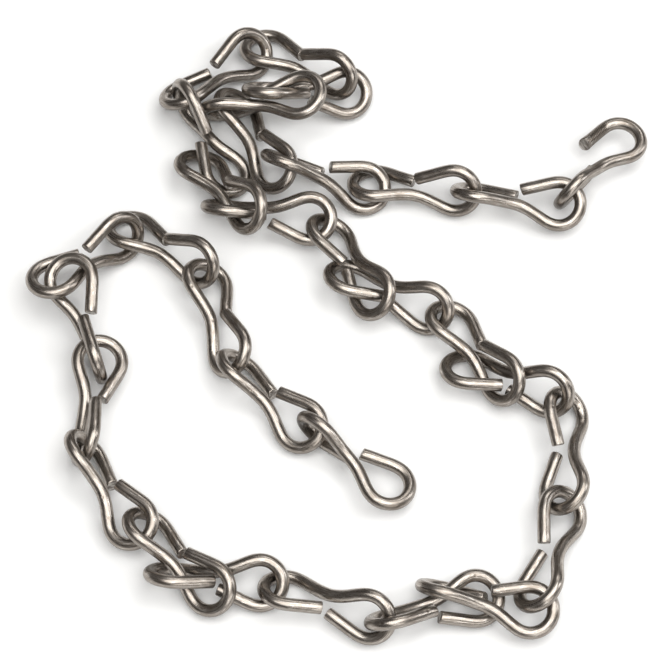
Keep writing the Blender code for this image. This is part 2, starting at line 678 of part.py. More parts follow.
def main():
    for obj in list(bpy.data.objects):
        bpy.data.objects.remove(obj)
    closed = wire_of(closed_rings())
    opened = wire_of(hook_rings())
    links = [Link(name, opened if name == "hook_link" else closed, seen) for name, seen in SEEN.items()]
    seat_chain(links)
    settle_origin([add_link(link) for link in links])


main()
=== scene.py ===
"""Looks for the heap of iron chain: thirty-one bent wire links lying loose on a pale floor.

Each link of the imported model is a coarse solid. This script reads the middle line of each solid,
bends one fine wire along a closed link and one along the opened hook link, and lays a copy of the
closed link in the place of every other one. The wire is bare drawn steel with the marks of the
die, of the shears and, on the opened strand, of pliers.
"""

from __future__ import annotations

import json
import logging
import math
from dataclasses import dataclass, field
from enum import Enum

import bmesh
import bpy
import numpy as np
from mathutils import Matrix, Vector

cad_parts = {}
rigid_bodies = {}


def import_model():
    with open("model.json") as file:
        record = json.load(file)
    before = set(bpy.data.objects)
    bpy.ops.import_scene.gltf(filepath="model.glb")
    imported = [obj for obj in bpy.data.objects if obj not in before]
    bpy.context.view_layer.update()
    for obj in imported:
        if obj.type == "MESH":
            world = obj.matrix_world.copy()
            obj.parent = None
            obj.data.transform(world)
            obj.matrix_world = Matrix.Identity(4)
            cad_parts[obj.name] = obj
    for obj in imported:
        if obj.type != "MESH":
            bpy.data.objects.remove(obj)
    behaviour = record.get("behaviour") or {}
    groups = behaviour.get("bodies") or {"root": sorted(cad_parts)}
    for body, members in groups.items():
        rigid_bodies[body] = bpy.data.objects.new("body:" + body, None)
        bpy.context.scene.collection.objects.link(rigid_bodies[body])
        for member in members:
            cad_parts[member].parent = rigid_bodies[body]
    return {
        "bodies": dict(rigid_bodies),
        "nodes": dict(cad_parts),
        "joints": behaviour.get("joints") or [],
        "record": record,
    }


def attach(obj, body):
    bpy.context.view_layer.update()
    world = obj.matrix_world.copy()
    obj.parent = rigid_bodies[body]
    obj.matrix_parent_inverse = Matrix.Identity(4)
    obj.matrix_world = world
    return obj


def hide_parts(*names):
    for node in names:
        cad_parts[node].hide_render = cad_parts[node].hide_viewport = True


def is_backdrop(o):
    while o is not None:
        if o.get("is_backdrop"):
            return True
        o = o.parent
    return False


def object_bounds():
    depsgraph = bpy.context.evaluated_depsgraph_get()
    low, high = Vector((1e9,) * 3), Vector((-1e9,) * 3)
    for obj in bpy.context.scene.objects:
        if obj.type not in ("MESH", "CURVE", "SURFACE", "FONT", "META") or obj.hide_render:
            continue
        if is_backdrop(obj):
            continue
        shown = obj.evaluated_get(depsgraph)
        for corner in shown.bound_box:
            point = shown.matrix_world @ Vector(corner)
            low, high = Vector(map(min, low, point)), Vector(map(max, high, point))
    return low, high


LOG = logging.getLogger("chain")
BODY = "root"


class LinkForm(Enum):
    """How a link is bent."""

    CLOSED = "both loops closed"
    HOOKED = "first loop opened as a hook"


def unit(vector: np.ndarray) -> np.ndarray:
    """Returns the vector at length one."""
    return vector / np.linalg.norm(vector)


def deselect_all() -> None:
    """Leaves object mode clean, with nothing selected."""
    if bpy.context.mode != "OBJECT":
        bpy.ops.object.mode_set(mode="OBJECT")
    bpy.ops.object.select_all(action="DESELECT")


@dataclass(frozen=True)
class SolidTrace:
    """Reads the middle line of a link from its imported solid.

    The solid is a tube of rings with one flat face on each cut end, so the rings can be walked
    from one cut end to the other.
    """

    sides: int = 8
    weld: float = 2.0e-6
    rim_angle: float = math.radians(60.0)

    def centres(self, solid: bpy.types.Object) -> np.ndarray:
        """Walks the rings of one solid.

        Args:
            solid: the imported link.

        Returns:
            The middle of each ring in order, in metres.
        """
        shell = bmesh.new()
        shell.from_mesh(solid.data)
        bmesh.ops.remove_doubles(shell, verts=shell.verts, dist=self.weld)
        ring = self._first_rim(shell)
        seen = set(ring)
        middles = []
        while ring:
            if len(ring) != self.sides:
                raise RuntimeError(f"{solid.name} has a ring of {len(ring)} corners")
            middles.append(np.mean([corner.co for corner in ring], axis=0))
            beside = {edge.other_vert(corner) for corner in ring for edge in corner.link_edges}
            ring = sorted(beside - seen, key=lambda corner: corner.index)
            seen.update(ring)
        shell.free()
        return np.array(middles)

    def _first_rim(self, shell: bmesh.types.BMesh) -> list[bmesh.types.BMVert]:
        """Finds the corners round the cut end that comes first in the mesh.

        Args:
            shell: the welded solid.

        Returns:
            The corners of that rim.
        """
        shell.verts.ensure_lookup_table()
        shell.verts.index_update()
        rims = [
            edge
            for edge in shell.edges
            if edge.is_manifold and edge.calc_face_angle() > self.rim_angle
        ]
        start = min((corner for edge in rims for corner in edge.verts), key=lambda v: v.index)
        rim = {start}
        for _ in range(self.sides):
            for edge in rims:
                if rim & set(edge.verts):
                    rim.update(edge.verts)
        return sorted(rim, key=lambda corner: corner.index)


@dataclass(frozen=True)
class BentLine:
    """The smooth middle line of a bent wire."""

    spacing: float = 0.0008
    fine_spacing: float = 0.0002
    ease: float = 0.0014

    def through(self, corners: np.ndarray) -> np.ndarray:
        """Eases the corners of the line and spaces points evenly along it.

        Args:
            corners: the middles of the solid's rings.

        Returns:
            Points along the wire, an even distance apart.
        """
        once = self._blurred(self._even(corners, self.fine_spacing))
        eased = 2.0 * once - self._blurred(once)  # keeps the bends as wide as they were
        return self._even(eased, self.spacing)

    def _blurred(self, line: np.ndarray) -> np.ndarray:
        """Averages each point of a fine line with those near it, the ends carried straight on."""
        reach = int(4.0 * self.ease / self.fine_spacing)
        steps = np.arange(-reach, reach + 1)
        weights = np.exp(-0.5 * (steps * self.fine_spacing / self.ease) ** 2)
        weights = weights / weights.sum()
        beyond = np.arange(1, reach + 1)[:, None]
        before = (line[0] + (line[0] - line[1]) * beyond)[::-1]
        after = line[-1] + (line[-1] - line[-2]) * beyond
        longer = np.vstack([before, line, after])
        return np.stack(
            [np.convolve(longer[:, axis], weights, mode="valid") for axis in range(3)], axis=1
        )

    @staticmethod
    def _even(line: np.ndarray, spacing: float) -> np.ndarray:
        """Returns points about the given distance apart along a line."""
        reach = np.append(0.0, np.cumsum(np.linalg.norm(np.diff(line, axis=0), axis=1)))
        count = int(round(reach[-1] / spacing))
        stations = np.linspace(0.0, reach[-1], count + 1)
        return np.stack([np.interp(stations, reach, line[:, axis]) for axis in range(3)], axis=1)


@dataclass(frozen=True)
class DrawnSteel:
    """Bare drawn steel wire: a warm grey metal with fine lines along it, dull patches and nicks.

    Painted shade darkens the wire where it faces away from the sky; it stands for shade, not for
    dirt.
    """

    name: str = "bare_drawn_steel"
    bright: tuple[float, float, float] = (0.40, 0.360, 0.322)
    dull: tuple[float, float, float] = (0.255, 0.222, 0.193)
    rubbed: tuple[float, float, float] = (0.70, 0.665, 0.62)
    oxide: tuple[float, float, float] = (0.15, 0.115, 0.085)
    # Painted shade: the dark colour laid on the sides and undersides that face away from the sky,
    # and how much of it shows.
    painted_shade: tuple[float, float, float] = (0.075, 0.065, 0.057)
    painted_shade_share: float = 0.66
    cut: tuple[float, float, float] = (0.66, 0.63, 0.59)
    cut_dark: tuple[float, float, float] = (0.26, 0.23, 0.21)
    smooth: float = 0.22
    rough: float = 0.47
    rough_span: tuple[float, float] = (0.25, 0.62)
    line_width: float = 0.00020
    line_length: float = 0.009
    line_step: tuple[float, float] = (0.36, 0.66)
    line_depth: float = 0.000022
    scratch_width: float = 0.00014
    scratch_length: float = 0.0022
    scratch_step: tuple[float, float] = (0.57, 0.66)
    scratch_share: float = 0.80
    patch: float = 0.0065
    patch_step: tuple[float, float] = (0.54, 0.76)
    patch_share: float = 0.60
    grain: float = 0.00012
    grain_stretch: float = 0.4
    grain_depth: float = 0.000005
    nick_spacing: float = 0.0045
    nick_edge: tuple[float, float] = (0.11, 0.04)
    nick_share: float = 0.6
    nick_depth: float = 0.00005
    shear_line: float = 0.00016
    shear_stretch: float = 0.12
    shear_step: tuple[float, float] = (0.40, 0.60)
    grip_ridge: float = 0.00052
    grip_slant: float = 0.35
    grip_step: tuple[float, float] = (0.0, 0.8)
    grip_share: float = 0.85
    grip_depth: float = 0.00012

    def material(self) -> bpy.types.Material:
        """Builds the finish.

        Returns:
            The material, read from the wire's own attributes.
        """
        steel = bpy.data.materials.new(self.name)
        steel.use_nodes = True
        tree = steel.node_tree
        shader = tree.nodes["Principled BSDF"]
        shader.inputs["Metallic"].default_value = 1.0
        marks = self._marks(tree)
        tree.links.new(self._colour(tree, marks), shader.inputs["Base Color"])
        tree.links.new(self._roughness(tree, marks), shader.inputs["Roughness"])
        tree.links.new(self._relief(tree, marks), shader.inputs["Normal"])
        return steel

    def _marks(self, tree: bpy.types.NodeTree) -> dict[str, bpy.types.NodeSocket]:
        """Adds the marks that the colour, the gloss and the relief share.

        Args:
            tree: the material's nodes.

        Returns:
            Each mark's value by name.
        """
        place = self._read(tree, "wire_place", "Vector")
        grain, shear = 1 / self.grain, 1 / self.shear_line
        line_pitch = (1 / self.line_length, 1 / self.line_width)
        scratch_pitch = (1 / self.scratch_length, 1 / self.scratch_width)
        return {
            "face": self._read(tree, "cut_face", "Fac"),
            # How far the wire turns away from the sky: the weight of the painted shade.
            "painted_shade_weight": self._read(tree, "painted_shade_weight", "Fac"),
            "lines": self._noise(tree, place, line_pitch, 3.0),
            "scratches": self._noise(tree, place, scratch_pitch, 2.0),
            "patches": self._noise(tree, place, (1 / self.patch, 1 / self.patch), 4.0),
            "grain": self._noise(tree, place, (self.grain_stretch * grain, grain), 2.0),
            "shear": self._noise(tree, place, (shear, self.shear_stretch * shear), 3.0),
            "nicks": self._nicks(tree, place),
            "ridges": self._ridges(tree, place),
        }

    def _colour(
        self, tree: bpy.types.NodeTree, marks: dict[str, bpy.types.NodeSocket]
    ) -> bpy.types.NodeSocket:
        """Lays the tones of the metal and of what is on it over one another, then lays painted
        shade over them where the wire faces away from the sky.

        Args:
            tree: the material's nodes.
            marks: the marks by name.

        Returns:
            The colour.
        """
        lines = self._ramp(tree, marks["lines"], self.line_step)
        patches = self._ramp(tree, marks["patches"], self.patch_step, self.patch_share)
        scratches = self._ramp(tree, marks["scratches"], self.scratch_step, self.scratch_share)
        nicks = self._scaled(tree, marks["nicks"], self.nick_share)
        teeth = self._ramp(tree, marks["ridges"], self.grip_step, self.grip_share)
        # Painted shade: darker where the wire faces away from the sky.
        painted_shade = self._scaled(tree, marks["painted_shade_weight"], self.painted_shade_share)
        tone = self._blend(tree, lines, self.dull, self.bright)
        aged = self._blend(tree, patches, tone, self.oxide)
        worn = self._blend(tree, scratches, aged, self.rubbed)
        marked = self._blend(tree, nicks, worn, self.oxide)
        crushed = self._blend(tree, teeth, marked, self.oxide)
        # The painted shade is mixed over the metal and all its marks.
        painted_shaded = self._blend(tree, painted_shade, crushed, self.painted_shade)
        torn_lines = self._ramp(tree, marks["shear"], self.shear_step)
        torn = self._blend(tree, torn_lines, self.cut, self.cut_dark)
        return self._blend(tree, marks["face"], painted_shaded, torn)

    def _roughness(
        self, tree: bpy.types.NodeTree, marks: dict[str, bpy.types.NodeSocket]
    ) -> bpy.types.NodeSocket:
        """Spreads the gloss between its smoothest and its roughest.

        Args:
            tree: the material's nodes.
            marks: the marks by name.

        Returns:
            The roughness.
        """
        uneven = [marks[name] for name in ("lines", "patches", "grain", "face")]
        rough = self._node(tree, "ShaderNodeMapRange")
        rough.inputs["From Min"].default_value = self.rough_span[0]
        rough.inputs["From Max"].default_value = self.rough_span[1]
        rough.inputs["To Min"].default_value = self.smooth
        rough.inputs["To Max"].default_value = self.rough
        tree.links.new(self._mean(tree, uneven), rough.inputs["Value"])
        return rough.outputs["Result"]

    def _relief(
        self, tree: bpy.types.NodeTree, marks: dict[str, bpy.types.NodeSocket]
    ) -> bpy.types.NodeSocket:
        """Raises the drawn lines and the grain, and sinks the nicks and the teeth marks.

        Args:
            tree: the material's nodes.
            marks: the marks by name.

        Returns:
            The bumped normal.
        """
        relief = self._bump(tree, marks["lines"], self.line_depth, None)
        relief = self._bump(tree, marks["grain"], self.grain_depth, relief)
        nicks = self._scaled(tree, marks["nicks"], -1.0)
        relief = self._bump(tree, nicks, self.nick_depth, relief)
        teeth = self._scaled(tree, marks["ridges"], -1.0)
        return self._bump(tree, teeth, self.grip_depth, relief)

    def _read(self, tree: bpy.types.NodeTree, name: str, output: str) -> bpy.types.NodeSocket:
        """Returns one of the wire's own attributes."""
        return self._node(tree, "ShaderNodeAttribute", attribute_name=name).outputs[output]

    def _ridges(
        self, tree: bpy.types.NodeTree, place: bpy.types.NodeSocket
    ) -> bpy.types.NodeSocket:
        """Adds the rows of teeth marks that the pliers left where a strand was gripped."""
        parts = self._node(tree, "ShaderNodeSeparateXYZ")
        tree.links.new(place, parts.inputs["Vector"])
        slanted = self._node(tree, "ShaderNodeMath", operation="MULTIPLY_ADD")
        slanted.inputs[1].default_value = self.grip_slant
        tree.links.new(parts.outputs["Y"], slanted.inputs[0])
        tree.links.new(parts.outputs["X"], slanted.inputs[2])
        wave = self._node(tree, "ShaderNodeMath", operation="SINE")
        turns = self._scaled(tree, slanted.outputs[0], 2.0 * math.pi / self.grip_ridge)
        tree.links.new(turns, wave.inputs[0])
        held = self._node(tree, "ShaderNodeMath", operation="MULTIPLY")
        tree.links.new(wave.outputs[0], held.inputs[0])
        tree.links.new(self._read(tree, "gripped", "Fac"), held.inputs[1])
        return held.outputs[0]

    @staticmethod
    def _node(tree: bpy.types.NodeTree, kind: str, **settings: object) -> bpy.types.Node:
        """Adds a node and returns it with its settings made."""
        node = tree.nodes.new(kind)
        for key, value in settings.items():
            setattr(node, key, value)
        return node

    def _noise(
        self,
        tree: bpy.types.NodeTree,
        place: bpy.types.NodeSocket,
        pitch: tuple[float, float],
        detail: float,
    ) -> bpy.types.NodeSocket:
        """Adds noise stretched along the wire.

        Args:
            tree: the material's nodes.
            place: where a point lies along and across the wire.
            pitch: how often the noise changes per metre, along and across.
            detail: how many finer layers it has.

        Returns:
            The noise value.
        """
        stretch = self._node(tree, "ShaderNodeVectorMath", operation="MULTIPLY")
        stretch.inputs[1].default_value = (pitch[0], pitch[1], pitch[1])
        tree.links.new(place, stretch.inputs[0])
        noise = self._node(tree, "ShaderNodeTexNoise")
        noise.inputs["Scale"].default_value = 1.0
        noise.inputs["Detail"].default_value = detail
        tree.links.new(stretch.outputs["Vector"], noise.inputs["Vector"])
        return noise.outputs["Fac"]

    def _nicks(
        self, tree: bpy.types.NodeTree, place: bpy.types.NodeSocket
    ) -> bpy.types.NodeSocket:
        """Adds sparse small nicks and returns where they are."""
        stretch = self._node(tree, "ShaderNodeVectorMath", operation="SCALE")
        stretch.inputs["Scale"].default_value = 1.0 / self.nick_spacing
        tree.links.new(place, stretch.inputs[0])
        cells = self._node(tree, "ShaderNodeTexVoronoi", feature="F1")
        cells.inputs["Scale"].default_value = 1.0
        cells.inputs["Randomness"].default_value = 1.0
        tree.links.new(stretch.outputs["Vector"], cells.inputs["Vector"])
        spot = self._node(tree, "ShaderNodeMapRange", clamp=True)
        spot.inputs["From Min"].default_value = self.nick_edge[0]
        spot.inputs["From Max"].default_value = self.nick_edge[1]
        tree.links.new(cells.outputs["Distance"], spot.inputs["Value"])
        return spot.outputs["Result"]

    def _ramp(
        self,
        tree: bpy.types.NodeTree,
        value: bpy.types.NodeSocket,
        span: tuple[float, float],
        most: float = 1.0,
    ) -> bpy.types.NodeSocket:
        """Adds a soft step.

        Args:
            tree: the material's nodes.
            value: what is stepped.
            span: where the step begins and ends.
            most: its height.

        Returns:
            The stepped value.
        """
        step = self._node(tree, "ShaderNodeMapRange", interpolation_type="SMOOTHSTEP")
        step.inputs["From Min"].default_value = span[0]
        step.inputs["From Max"].default_value = span[1]
        step.inputs["To Max"].default_value = most
        tree.links.new(value, step.inputs["Value"])
        return step.outputs["Result"]

    def _scaled(
        self, tree: bpy.types.NodeTree, value: bpy.types.NodeSocket, factor: float
    ) -> bpy.types.NodeSocket:
        """Returns the value times a factor."""
        times = self._node(tree, "ShaderNodeMath", operation="MULTIPLY")
        times.inputs[1].default_value = factor
        tree.links.new(value, times.inputs[0])
        return times.outputs[0]

    def _mean(
        self, tree: bpy.types.NodeTree, values: list[bpy.types.NodeSocket]
    ) -> bpy.types.NodeSocket:
        """Returns the mean of some values."""
        total = values[0]
        for value in values[1:]:
            plus = self._node(tree, "ShaderNodeMath", operation="ADD")
            tree.links.new(total, plus.inputs[0])
            tree.links.new(value, plus.inputs[1])
            total = plus.outputs[0]
        return self._scaled(tree, total, 1.0 / len(values))

    def _blend(
        self,
        tree: bpy.types.NodeTree,
        share: bpy.types.NodeSocket,
        first: bpy.types.NodeSocket | tuple[float, float, float],
        second: bpy.types.NodeSocket | tuple[float, float, float],
    ) -> bpy.types.NodeSocket:
        """Mixes two colours.

        Args:
            tree: the material's nodes.
            share: how much of the second colour shows.
            first: a colour or a socket.
            second: a colour or a socket.

        Returns:
            The mixed colour.
        """
        mix = self._node(tree, "ShaderNodeMix", data_type="RGBA")
        tree.links.new(share, mix.inputs[0])
        for socket, colour in ((mix.inputs[6], first), (mix.inputs[7], second)):
            if isinstance(colour, tuple):
                socket.default_value = (*colour, 1.0)
            else:
                tree.links.new(colour, socket)
        return mix.outputs[2]

    def _bump(
        self,
        tree: bpy.types.NodeTree,
        height: bpy.types.NodeSocket,
        depth: float,
        below: bpy.types.NodeSocket | None,
    ) -> bpy.types.NodeSocket:
        """Adds relief.

        Args:
            tree: the material's nodes.
            height: the relief, from nought to one.
            depth: its depth in metres.
            below: the relief that it lies on.

        Returns:
            The bumped normal.
        """
        bump = self._node(tree, "ShaderNodeBump")
        bump.inputs["Distance"].default_value = depth
        tree.links.new(height, bump.inputs["Height"])
        if below is not None:
            tree.links.new(below, bump.inputs["Normal"])
        return bump.outputs["Normal"]


@dataclass(frozen=True)
class ShearCut:
    """How the shears leave a cut end: tilted off square, and spread by the bite."""

    tilt: float = math.radians(9.0)
    towards: tuple[float, float, float] = (-0.3, -0.2, -0.9)
    spread: float = 1.0


@dataclass
class WireBender:
    """Bends a round wire along a line: a circle is extruded and turned, ring by ring."""

    diameter: float = 0.00338
    sides: int = 24
    rim_bevel: float = 0.00022
    rim_segments: int = 2
    rim_angle: float = math.radians(60.0)
    smooth_angle: float = math.radians(40.0)
    straight: float = 1.0e-9

    def bend(
        self, name: str, line: np.ndarray, cuts: tuple[ShearCut, ShearCut]
    ) -> bpy.types.Object:
        """Models one wire.

        Args:
            name: the name of the new piece.
            line: evenly spaced points along its middle, in metres.
            cuts: how its first and its last end are cut.

        Returns:
            The wire, with its place in its mesh.
        """
        line = np.delete(line, [1, 2, -3, -2], axis=0)  # leaves room for the tilted ends
        along = self._directions(line)
        wire = self._first_ring(name, line[0], along[0])
        for step in range(1, len(line)):
            self._extrude_to(line, along, step)
        self._cut(line[-1], along[-1], cuts[1])
        self._select_first_ring(wire)
        self._cut(line[0], -along[0], cuts[0])
        self._break_rims(wire)
        deselect_all()
        wire.select_set(True)
        bpy.context.view_layer.objects.active = wire
        bpy.ops.object.shade_smooth_by_angle(angle=self.smooth_angle)
        self._mark_places(wire, line, along)
        return wire

    @staticmethod
    def _directions(line: np.ndarray) -> np.ndarray:
        """Returns the direction of the wire at each point of its line."""
        steps = np.diff(line, axis=0)
        steps = steps / np.linalg.norm(steps, axis=1)[:, None]
        along = np.vstack([steps[:1], steps[:-1] + steps[1:], steps[-1:]])
        return along / np.linalg.norm(along, axis=1)[:, None]

    def _first_ring(
        self, name: str, middle: np.ndarray, direction: np.ndarray
    ) -> bpy.types.Object:
        """Adds the circle at the first cut end.

        Args:
            name: the name of the new piece.
            middle: the middle of the circle.
            direction: where the wire goes from it.

        Returns:
            The circle, in edit mode with its face selected.
        """
        deselect_all()
        turn = Vector(direction).to_track_quat("Z", "Y").to_euler()
        bpy.ops.mesh.primitive_circle_add(
            vertices=self.sides,
            radius=self.diameter / 2.0,
            fill_type="NGON",
            location=middle,
            rotation=turn,
        )
        ring = bpy.context.object
        ring.name = name
        ring.data.name = name
        bpy.ops.object.transform_apply(location=True, rotation=True, scale=True)
        bpy.ops.object.mode_set(mode="EDIT")
        bpy.ops.mesh.select_mode(type="FACE")
        bpy.ops.mesh.select_all(action="SELECT")
        return ring

    def _extrude_to(self, line: np.ndarray, along: np.ndarray, step: int) -> None:
        """Carries the end face on to one more point and turns it to the wire's new direction.

        Args:
            line: the wire's middle line.
            along: its directions.
            step: the point that the face is carried to.
        """
        bpy.ops.mesh.extrude_region_move(
            TRANSFORM_OT_translate={"value": tuple(line[step] - line[step - 1])}
        )
        axis = np.cross(along[step - 1], along[step])
        size = float(np.linalg.norm(axis))
        if size > self.straight:
            angle = math.atan2(size, float(along[step - 1] @ along[step]))
            self._turn(line[step], axis / size, angle)

    @staticmethod
    def _turn(middle: np.ndarray, axis: np.ndarray, angle: float) -> None:
        """Turns what is selected in edit mode.

        Args:
            middle: the point that stays in place.
            axis: the direction turned about.
            angle: how far, in radians, counter-clockwise seen against the axis.
        """
        helper = unit(np.cross(axis, np.eye(3)[int(np.argmin(np.abs(axis)))]))
        frame = Matrix((helper, np.cross(axis, helper), axis)).transposed()
        bpy.ops.transform.rotate(
            value=angle,
            orient_axis="Z",
            orient_type="GLOBAL",
            orient_matrix=frame,
            orient_matrix_type="GLOBAL",
            constraint_axis=(False, False, True),
            center_override=tuple(middle),
        )

    def _select_first_ring(self, wire: bpy.types.Object) -> None:
        """Selects the circle that the wire was started from."""
        bpy.ops.mesh.select_mode(type="VERT")
        bpy.ops.mesh.select_all(action="DESELECT")
        bpy.ops.object.mode_set(mode="OBJECT")
        for corner in wire.data.vertices[: self.sides]:
            corner.select = True
        bpy.ops.object.mode_set(mode="EDIT")

    def _cut(self, middle: np.ndarray, outward: np.ndarray, cut: ShearCut) -> None:
        """Gives the selected end the shape that the shears leave.

        Args:
            middle: the middle of the end.
            outward: the direction in which the wire ends.
            cut: how it is cut.
        """
        self._turn(middle, unit(np.cross(outward, np.array(cut.towards))), cut.tilt)
        bpy.ops.transform.resize(value=(cut.spread,) * 3, center_override=tuple(middle))

    def _break_rims(self, wire: bpy.types.Object) -> None:
        """Rounds the sharp rims of both cut ends and points every face outwards."""
        bpy.ops.mesh.select_all(action="SELECT")
        bpy.ops.mesh.normals_make_consistent(inside=False)
        bpy.ops.mesh.select_mode(type="EDGE")
        bpy.ops.mesh.select_all(action="DESELECT")
        bpy.ops.mesh.edges_select_sharp(sharpness=self.rim_angle)
        bpy.ops.mesh.bevel(
            offset=self.rim_bevel, segments=self.rim_segments, affect="EDGES"
        )
        bpy.ops.object.mode_set(mode="OBJECT")
        wire.data.validate()

    def _mark_places(
        self, wire: bpy.types.Object, line: np.ndarray, along: np.ndarray
    ) -> None:
        """Writes on each corner how far along and round the wire it lies.

        Args:
            wire: the bent wire.
            line: its middle line.
            along: its directions.
        """
        mesh = wire.data
        corners = np.empty(len(mesh.vertices) * 3)
        mesh.vertices.foreach_get("co", corners)
        corners = corners.reshape(-1, 3)
        nearest = np.argmin(((corners[:, None] - line[None]) ** 2).sum(axis=2), axis=1)
        sides, others = self._carried_frames(along)
        reach = np.append(0.0, np.cumsum(np.linalg.norm(np.diff(line, axis=0), axis=1)))
        off = corners - line[nearest]
        place = np.stack(
            [
                reach[nearest] + (off * along[nearest]).sum(axis=1),
                (off * sides[nearest]).sum(axis=1),
                (off * others[nearest]).sum(axis=1),
            ],
            axis=1,
        )
        layer = mesh.attributes.new("wire_place", "FLOAT_VECTOR", "POINT")
        layer.data.foreach_set("vector", place.astype(np.float32).ravel())
        cut = mesh.attributes.new("cut_face", "FLOAT", "FACE")
        flat = [float(len(face.vertices) > 4) for face in mesh.polygons]
        cut.data.foreach_set("value", flat)

    @staticmethod
    def _carried_frames(along: np.ndarray) -> tuple[np.ndarray, np.ndarray]:
        """Carries two directions across the wire from ring to ring.

        Args:
            along: the wire's directions.

        Returns:
            The two directions at each point.
        """
        side = np.cross(along[0], np.eye(3)[int(np.argmin(np.abs(along[0])))])
        sides = []
        for direction in along:
            side = unit(side - direction * (side @ direction))
            sides.append(side)
        sides = np.array(sides)
        return sides, np.cross(along, sides)


@dataclass
class Chain:
    """All the links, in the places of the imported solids."""

    steel: DrawnSteel = field(default_factory=DrawnSteel)
    bender: WireBender = field(default_factory=WireBender)
    line: BentLine = field(default_factory=BentLine)
    trace: SolidTrace = field(default_factory=SolidTrace)
    hook_node: str = "hook_link"
    pattern_node: str = "link_02"
    plain_cut: ShearCut = ShearCut()
    free_cut: ShearCut = ShearCut(math.radians(36.0), (0.0, -0.446, 0.895), 1.10)
    fit_limit: float = 0.00005
    seed_step: float = 0.173
    # Normal heights over which the painted shade goes from full to none.
    painted_shade_reach: tuple[float, float] = (-0.25, 0.62)
    gripped_length: tuple[float, float] = (0.0004, 0.0085)
    grip_fade: float = 0.2

    def build(self, nodes: dict[str, bpy.types.Object]) -> None:
        """Makes a wire for each packed link.

        Args:
            nodes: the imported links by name.
        """
        material = self.steel.material()
        traces = {name: self.trace.centres(solid) for name, solid in nodes.items()}
        plain_cuts = (self.plain_cut, self.plain_cut)
        pattern = self._bent("link_pattern", traces[self.pattern_node], material, plain_cuts)
        for number, name in enumerate(sorted(nodes)):
            if self.form_of(name) is LinkForm.HOOKED:
                corners = self._free_end_first(traces[name])
                wire = self._bent(
                    name + "_wire", corners, material, (self.free_cut, self.plain_cut)
                )
            else:
                wire = self._copied(pattern, name + "_wire")
                wire.data.transform(self._carry(traces[self.pattern_node], traces[name]))
            # Paints shade on the sides that face away from the sky.
            self._mark_painted_shade(wire)
            self._grip(wire, self.form_of(name))
            self._vary(wire, number)
            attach(wire, BODY)
            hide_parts(name)
            LOG.info("%s: %s", name, self.form_of(name).value)
        bpy.data.objects.remove(pattern)

    def form_of(self, name: str) -> LinkForm:
        """Returns how the named link is bent."""
        return LinkForm.HOOKED if name == self.hook_node else LinkForm.CLOSED

    @staticmethod
    def _free_end_first(corners: np.ndarray) -> np.ndarray:
        """Returns the hook's ring middles from its free end, which lies farther back."""
        return corners if corners[0][1] > corners[-1][1] else corners[::-1]

    def _bent(
        self,
        name: str,
        corners: np.ndarray,
        material: bpy.types.Material,
        cuts: tuple[ShearCut, ShearCut],
    ) -> bpy.types.Object:
        """Models a wire in its finish.

        Args:
            name: the name of the new piece.
            corners: the middles of the solid's rings.
            material: its finish.
            cuts: how its two ends are cut.

        Returns:
            The wire.
        """
        wire = self.bender.bend(name, self.line.through(corners), cuts)
        wire.data.materials.append(material)
        return wire

    @staticmethod
    def _copied(pattern: bpy.types.Object, name: str) -> bpy.types.Object:
        """Returns a copy of the pattern with its own mesh."""
        wire = pattern.copy()
        wire.data = pattern.data.copy()
        wire.name = name
        wire.data.name = name
        bpy.context.scene.collection.objects.link(wire)
        return wire

    def _carry(self, source: np.ndarray, target: np.ndarray) -> Matrix:
        """Finds the move that lays one link on another.

        Args:
            source: ring middles of the pattern.
            target: ring middles of the link that is wanted.

        Returns:
            The rigid move.
        """
        best = min(
            (self._rigid(source, way) for way in (target, target[::-1])),
            key=lambda found: found[1],
        )
        if best[1] > self.fit_limit:
            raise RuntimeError(f"a link is {best[1] * 1000:.3f} mm off the pattern")
        return best[0]

    @staticmethod
    def _rigid(source: np.ndarray, target: np.ndarray) -> tuple[Matrix, float]:
        """Fits one set of points to another.

        Args:
            source: points to be moved.
            target: where they should come.

        Returns:
            The move and the largest miss, in metres.
        """
        middle, goal = source.mean(axis=0), target.mean(axis=0)
        left, _, right = np.linalg.svd((source - middle).T @ (target - goal))
        facing = np.diag([1.0, 1.0, np.sign(np.linalg.det(left @ right))])
        turn = (left @ facing @ right).T
        miss = np.linalg.norm((source - middle) @ turn.T + goal - target, axis=1).max()
        move = Matrix.Translation(Vector(goal)) @ Matrix(turn.tolist()).to_4x4()
        return move @ Matrix.Translation(Vector(-middle)), float(miss)

    def _mark_painted_shade(self, wire: bpy.types.Object) -> None:
        """Marks how far each corner of a wire is turned away from the sky, as the weight of the
        painted shade.
        """
        mesh = wire.data
        facing = np.empty(len(mesh.vertices) * 3, np.float32)
        mesh.vertex_normals.foreach_get("vector", facing)
        upward = facing.reshape(-1, 3)[:, 2]
        low, high = self.painted_shade_reach
        # Painted shade: full where the normal points down, none where it points well up.
        share = np.clip((high - upward) / (high - low), 0.0, 1.0)
        layer = mesh.attributes.new("painted_shade_weight", "FLOAT", "POINT")
        layer.data.foreach_set("value", share * share * (3.0 - 2.0 * share))

    def _grip(self, wire: bpy.types.Object, form: LinkForm) -> None:
        """Marks the strand that was held in pliers when the link was opened.

        Args:
            wire: the wire in its place.
            form: how it is bent; a closed link was not gripped.
        """
        mesh = wire.data
        place = np.empty(len(mesh.vertices) * 3, np.float32)
        mesh.attributes["wire_place"].data.foreach_get("vector", place)
        reach = place.reshape(-1, 3)[:, 0]
        start, stop = self.gripped_length
        fade = (stop - start) * self.grip_fade
        rising = np.clip((reach - start) / fade, 0.0, 1.0)
        falling = np.clip((stop - reach) / fade, 0.0, 1.0)
        layer = mesh.attributes.new("gripped", "FLOAT", "POINT")
        held = rising * falling * float(form is LinkForm.HOOKED)
        layer.data.foreach_set("value", held)

